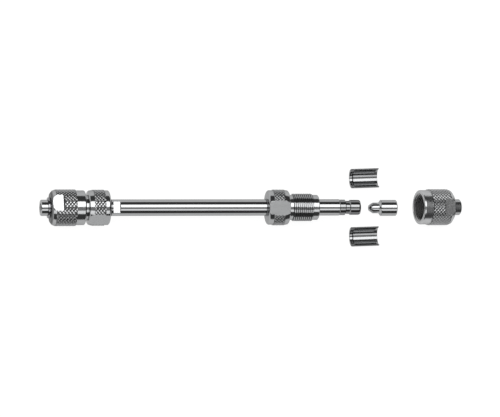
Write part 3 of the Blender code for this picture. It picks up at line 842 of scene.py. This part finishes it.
def thread_cutter(start, turns, pitch, side, root, crest, half_root, half_crest, finishes=()):
    """A coil with the section of a thread's groove. side is 1 where the groove opens outwards. It
    leaves the last of the finishes on the groove."""
    shape = bmesh.new()
    open_radius = crest + side * THREAD_OPENING
    section = [
        (root, -half_root),
        (crest, -half_crest),
        (open_radius, -half_crest),
        (open_radius, half_crest),
        (crest, half_crest),
        (root, half_root),
    ]
    corners = [shape.verts.new((radius, 0, start + z)) for radius, z in section]
    ring = [shape.edges.new(ends) for ends in zip(corners, corners[1:] + corners[:1])]
    bmesh.ops.spin(
        shape,
        geom=corners + ring,
        cent=(0, 0, 0),
        axis=(0, 0, 1),
        dvec=(0, 0, pitch / THREAD_STEPS),
        angle=2 * math.pi * turns,
        space=Matrix.Identity(4),
        steps=THREAD_STEPS * turns,
        use_merge=False,
    )
    open_edges = [edge for edge in shape.edges if edge.is_boundary]
    bmesh.ops.holes_fill(shape, edges=open_edges)
    bmesh.ops.recalc_face_normals(shape, faces=shape.faces)
    for face in shape.faces:
        face.material_index = max(len(finishes) - 1, 0)
    return as_object("thread_cutter", shape, finishes)


def coupling_nut():
    """The nut before its flats and its thread are cut."""
    outside = [
        *arc((0, RING_FACE), (RING_ROUNDING, NUT_BAND_RADIUS)),
        *knurl_band(**RING_KNURL),
        (RING_LENGTH - SHOULDER_CHAMFER, SHOULDER_RADIUS),
        (RING_LENGTH, SHOULDER_RADIUS - SHOULDER_CHAMFER),
        (RING_LENGTH, RELIEF_RADIUS),
        (RELIEF_END, RELIEF_RADIUS),
        (RELIEF_END + THREAD_EDGE, THREAD_CREST),
        (THREAD_END - THREAD_EDGE, THREAD_CREST),
        (THREAD_END, RELIEF_RADIUS),
        (SLEEVE_END - SLEEVE_EDGE, RELIEF_RADIUS),
        (SLEEVE_END, RELIEF_RADIUS - SLEEVE_EDGE),
    ]
    bore = [
        (0, COLLAR_BORE + COLLAR_COUNTERSINK),
        (COLLAR_COUNTERSINK, COLLAR_BORE),
        (COLLAR_LENGTH, COLLAR_BORE),
        (COLLAR_LENGTH, SLEEVE_BORE),
        (SLEEVE_END - SLEEVE_EDGE / 2, SLEEVE_BORE),
        (SLEEVE_END, SLEEVE_BORE + SLEEVE_EDGE / 2),
    ]
    shape = turned(outside, bore, NUT_STEPS)
    cut_knurl(shape, **RING_KNURL)
    return shape


def knurl_hollow(start, length, radius, rows):
    """Where the hollows of a knurl are, for the painted shade in its material."""
    return {
        "Start": start + KNURL_STEP / 2,
        "End": start + length + KNURL_STEP,
        "Top": radius - KNURL_SHADE,
        "Bottom": radius - KNURL_RISE * (1 - KNURL_FLAT),
    }


def mill_flats(start, end, roll, finishes):
    """The two cutters that mill the flats of a nut."""
    flat = (NUT_FLAT_ACROSS, start, end, NUT_FLAT_SLOPE)
    return [flat_cutter(*flat, side, roll, finishes) for side in (1, -1)]


COUPLING_THREAD = {
    "start": 12.2,
    "turns": 11,
    "pitch": NUT_PITCH,
    "side": 1,
    "root": THREAD_ROOT,
    "crest": THREAD_CREST,
    "half_root": 0.06,
    "half_crest": 0.27,
}
# The coupling thread's roots get painted shade.
THREAD_HOLLOW = {"Start": RELIEF_END, "End": THREAD_END, "Top": THREAD_CREST, "Bottom": THREAD_ROOT}


def nut_finishes(name, place, hollows, roughness, colour, flat_roughness, flat_colour):
    """The finishes of a nut: turned and knurled, milled, and painted shade on its flats' end walls.
    """
    return (
        steel(f"{name}_steel", place, roughness, colour=colour, hollows=hollows, **NUT_TURNING),
        milled_steel(f"{name}_flat_steel", place, flat_roughness, flat_colour),
        milled_steel(f"{name}_shaded_flat_wall", place, FLAT_WALL_ROUGHNESS, FLAT_WALL_SHADE_COLOUR),
    )


def make_coupling(name, place, roll, flat_roughness, body, node):
    """A coupling nut in its place."""
    hollows = (knurl_hollow(**RING_KNURL), THREAD_HOLLOW)
    finishes = nut_finishes(
        name, place, hollows, NUT_ROUGHNESS, STEEL_COLOUR, flat_roughness, STEEL_COLOUR
    )
    nut = as_object(name, coupling_nut(), finishes)
    cutters = mill_flats(-NUT_FLAT_CLEARANCE, RING_LENGTH + NUT_FLAT_CLEARANCE, roll, finishes)
    cutters.append(thread_cutter(**COUPLING_THREAD))
    carve(nut, cutters)
    finish_piece(nut, place, body, "turned_steel", node)


outlet_coupling_place = outlet_place @ Matrix.Translation((0, 0, -COUPLING_SEAT))
make_coupling(
    "made_up_coupling",
    outlet_coupling_place,
    OUTLET_COUPLING_ROLL,
    MADE_UP_FLAT_ROUGHNESS,
    "column",
    "outlet_coupling_nut",
)
loose_coupling_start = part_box("inlet_coupling_nut")[0].x
loose_coupling_place = place_of(loose_coupling_start, 0, axis_height, math.radians(90))
make_coupling(
    "slid_back_coupling",
    loose_coupling_place,
    INLET_COUPLING_ROLL,
    SLID_BACK_FLAT_ROUGHNESS,
    "inlet_coupling",
    "inlet_coupling_nut",
)

# The cap nuts
# Knurled cups with a plain rim, an inner thread and two spanner flats at the closed end. Inside,
# the steel is rougher, and painted lighter to stand for light in the mouth. The outlet's is
# screwed home, and the inlet's lies on one flat with its mouth towards the tube.
CAP_LENGTH = 17.2
CAP_RIM_ROUNDING = 0.8
CAP_KNURL = {"start": 4.6, "length": 10.2, "radius": 9.05, "rows": 12}
CAP_END_CHAMFER = 0.9
CAP_END_RADIUS = 7.25
CAP_FLAT_START = 10.25
CAP_FLOOR = 14.0
CAP_MOUTH_RADIUS = 7.15
CAP_THREAD_CREST = 6.4
CAP_THREAD_ROOT = 7.0
CAP_THREAD_END = 11.0
CAP_HOLE = 4.15
# Painted shade: the cap's end chamfer and closed end face are darker.
CAP_END = {"Start": CAP_LENGTH - CAP_END_CHAMFER, "End": CAP_LENGTH + 1, "Top": 8.6, "Bottom": 7.9}
INSIDE_MARGIN = 0.05
# Painted light: the cap's inside has a lighter steel colour, and is rougher.
LIT_CAP_INSIDE = {"colour": (0.42, 0.42, 0.42, 1), "roughness": 0.45}
CAP_FLAT_ROUGHNESS = 0.25
LOOSE_CAP_ROUGHNESS = 0.24
CAP_THREAD = {
    "start": -0.55,
    "turns": 12,
    "pitch": NUT_PITCH,
    "side": -1,
    "root": CAP_THREAD_ROOT,
    "crest": CAP_THREAD_CREST,
    "half_root": 0.08,
    "half_crest": 0.42,
}
OUTLET_CAP_ROLL = math.radians(18)
CAP_SEAT = 2.4


def cap_nut():
    """The nut before its flats and its thread are cut, with the fourth finish inside."""
    outside = [
        *arc((0, NUT_BAND_RADIUS - CAP_RIM_ROUNDING), (CAP_RIM_ROUNDING, NUT_BAND_RADIUS)),
        *knurl_band(**CAP_KNURL),
        (CAP_LENGTH - CAP_END_CHAMFER, SHOULDER_RADIUS),
        (CAP_LENGTH, CAP_END_RADIUS),
    ]
    bore = [
        (0, CAP_MOUTH_RADIUS),
        (CAP_MOUTH_RADIUS - CAP_THREAD_CREST, CAP_THREAD_CREST),
        (CAP_THREAD_END, CAP_THREAD_CREST),
        (CAP_THREAD_END, CAP_THREAD_ROOT),
        (CAP_FLOOR, CAP_THREAD_ROOT),
        (CAP_FLOOR, CAP_HOLE),
        (CAP_LENGTH, CAP_HOLE),
    ]
    shape = turned(outside, bore, NUT_STEPS)
    cut_knurl(shape, **CAP_KNURL)
    for face in shape.faces:
        reach = max(math.hypot(*corner.co.xy) for corner in face.verts)
        if reach < CAP_MOUTH_RADIUS + INSIDE_MARGIN:
            face.material_index = INSIDE_FINISH
    return shape


def make_cap(name, place, roll, roughness, colour, body, node):
    """A cap nut in its place. Its thread is half a turn on from the coupling's, so that they mesh."""
    hollows = (knurl_hollow(**CAP_KNURL), CAP_END)
    inside = steel(f"{name}_lit_inside_steel", place, **LIT_CAP_INSIDE, **NUT_TURNING)
    outside = nut_finishes(
        name, place, hollows, roughness, colour, CAP_FLAT_ROUGHNESS, SHEEN_FLAT_COLOUR
    )
    finishes = (*outside, inside)
    nut = as_object(name, cap_nut(), finishes)
    cutters = mill_flats(CAP_FLAT_START, CAP_LENGTH + NUT_FLAT_CLEARANCE, roll, finishes)
    cutters.append(thread_cutter(**CAP_THREAD, finishes=finishes))
    carve(nut, cutters)
    finish_piece(nut, place, body, "turned_steel", node)


outlet_cap_place = outlet_place @ Matrix.Translation((0, 0, CAP_SEAT))
make_cap(
    "screwed_cap",
    outlet_cap_place,
    OUTLET_CAP_ROLL,
    NUT_ROUGHNESS,
    STEEL_COLOUR,
    "outlet_cap",
    "outlet_cap_nut",
)

loose_mouth = joints["inlet_port_turn"]["pos_m"]
loose_axis = joints["inlet_port_turn"]["axis"]
cap_tilt = math.atan2(-loose_axis[2], loose_axis[0])
loose_cap_place = place_of(*loose_mouth, math.radians(90) + cap_tilt)
make_cap(
    "loose_cap",
    loose_cap_place,
    0,
    LOOSE_CAP_ROUGHNESS,
    LIT_STEEL_COLOUR,
    "column",
    "inlet_cap_nut",
)

# The port inserts
# A turned steel plug goes through each cap, held by a snap ring outside and a flange inside. Its
# port takes a capillary fitting, and a plastic face seal lies in its inner end.
INSERT_STEPS = 96
INSERT_SEAT = 13.0
FLANGE_RADIUS = 4.8
FLANGE_EDGE = 0.15
FLANGE_GAP = 0.2
STUB_RADIUS = 4.0
STUB_LENGTH = 4.75
STUB_EDGE = 0.35
SNAP_OFFSET = 0.5
SNAP_THICKNESS = 0.7
SNAP_RADIUS = 5.1
SNAP_GROOVE = 3.6
SNAP_CLEARANCE = 0.15
SNAP_SPREAD = math.radians(30)
SNAP_ROLL = math.radians(155)
PORT_RADIUS = 2.05
PORT_THREAD_ROOT = 2.4
PORT_THREAD_CREST = 2.03
PORT_THREAD_START = 0.6
PORT_THREAD = {
    "turns": 7,
    "pitch": 0.8,
    "side": -1,
    "root": PORT_THREAD_ROOT,
    "crest": PORT_THREAD_CREST,
    "half_root": 0.06,
    "half_crest": 0.3,
}
PORT_DEPTH = 6.0
PORT_CONE = 1.0
PORT_CHAMFER = 0.4
PORT_CONE_RADIUS = 0.8
SEAL_RECESS = 2.65
SEAL_DEPTH = 0.6
# Painted shade: the snap ring's steel is darker, so that its ends look black.
SHADED_SPRING_COLOUR = (0.25, 0.25, 0.26, 1)
INSERT_ROUGHNESS = 0.08
LOOSE_INSERT_ROUGHNESS = 0.22
INSERT_TURNING = {"marks": 0.0000004, "marks_per_mm": 6}
SNAP_TURNING = {"roughness": 0.15, "marks": 0.0000005, "marks_per_mm": 7}


def make_insert(name, place, cap_floor, roughness, body, end):
    """A port insert, its snap ring and its face seal. cap_floor is how far off the cap's floor is."""
    flange_end = cap_floor - FLANGE_GAP
    cap_end = cap_floor + CAP_LENGTH - CAP_FLOOR
    tip = cap_end + STUB_LENGTH
    ring_start = cap_end + SNAP_OFFSET
    ring_end = ring_start + SNAP_THICKNESS
    port_floor = tip - PORT_DEPTH
    outside = [
        (0, FLANGE_RADIUS - FLANGE_EDGE),
        (FLANGE_EDGE, FLANGE_RADIUS),
        (flange_end, FLANGE_RADIUS),
        (flange_end, STUB_RADIUS),
        (ring_start - SNAP_CLEARANCE, STUB_RADIUS),
        (ring_start - SNAP_CLEARANCE, SNAP_GROOVE),
        (ring_end + SNAP_CLEARANCE, SNAP_GROOVE),
        (ring_end + SNAP_CLEARANCE, STUB_RADIUS),
        (tip - STUB_EDGE, STUB_RADIUS),
        (tip, STUB_RADIUS - STUB_EDGE),
    ]
    bore = [
        (0, SEAL_RECESS),
        (SEAL_DEPTH, SEAL_RECESS),
        (SEAL_DEPTH, PASSAGE),
        (port_floor - PORT_CONE, PASSAGE),
        (port_floor - PORT_CONE, PORT_CONE_RADIUS),
        (port_floor, PORT_RADIUS),
        (tip - PORT_CHAMFER, PORT_RADIUS),
        (tip, PORT_RADIUS + PORT_CHAMFER),
    ]
    insert_steel = steel(f"{name}_insert_steel", place, roughness, **INSERT_TURNING)
    insert = as_object(f"{name}_insert", turned(outside, bore, INSERT_STEPS), (insert_steel,))
    carve(insert, [thread_cutter(port_floor + PORT_THREAD_START, **PORT_THREAD)])
    finish_piece(insert, place, body, "polished_steel", f"{end}_port_insert")

    shape = bmesh.new()
    inner = SNAP_GROOVE + SNAP_CLEARANCE
    section = [
        (inner, ring_start),
        (SNAP_RADIUS, ring_start),
        (SNAP_RADIUS, ring_end),
        (inner, ring_end),
    ]
    corners = [shape.verts.new((radius, 0, z)) for radius, z in section]
    outline = [shape.edges.new(ends) for ends in zip(corners, corners[1:] + corners[:1])]
    bmesh.ops.spin(
        shape,
        geom=corners + outline,
        cent=(0, 0, 0),
        axis=(0, 0, 1),
        dvec=(0, 0, 0),
        angle=2 * math.pi - SNAP_SPREAD,
        space=Matrix.Identity(4),
        steps=INSERT_STEPS,
    )
    bmesh.ops.holes_fill(shape, edges=[edge for edge in shape.edges if edge.is_boundary])
    bmesh.ops.recalc_face_normals(shape, faces=shape.faces)
    turn = Matrix.Rotation(SNAP_ROLL, 3, "Z")
    bmesh.ops.rotate(shape, cent=(0, 0, 0), matrix=turn, verts=shape.verts)
    ring_steel = steel(f"{name}_ring_steel", place, colour=SHADED_SPRING_COLOUR, **SNAP_TURNING)
    ring = as_object(f"{name}_ring", shape, (ring_steel,))
    finish_piece(ring, place, body, "spring_steel", f"{end}_snap_ring")
    dress(machined_plastic(f"{name}_seal_plastic", place), "seal_plastic", f"{end}_face_seal")


floor_from_insert = CAP_SEAT + CAP_FLOOR - INSERT_SEAT
outlet_insert_place = outlet_place @ Matrix.Translation((0, 0, INSERT_SEAT))
make_insert(
    "outlet",
    outlet_insert_place,
    floor_from_insert,
    INSERT_ROUGHNESS,
    "outlet_port",
    "outlet",
)
loose_insert_place = loose_cap_place @ Matrix.Translation((0, 0, INSERT_SEAT - CAP_SEAT))
make_insert(
    "loose",
    loose_insert_place,
    floor_from_insert,
    LOOSE_INSERT_ROUGHNESS,
    "inlet_port",
    "inlet",
)
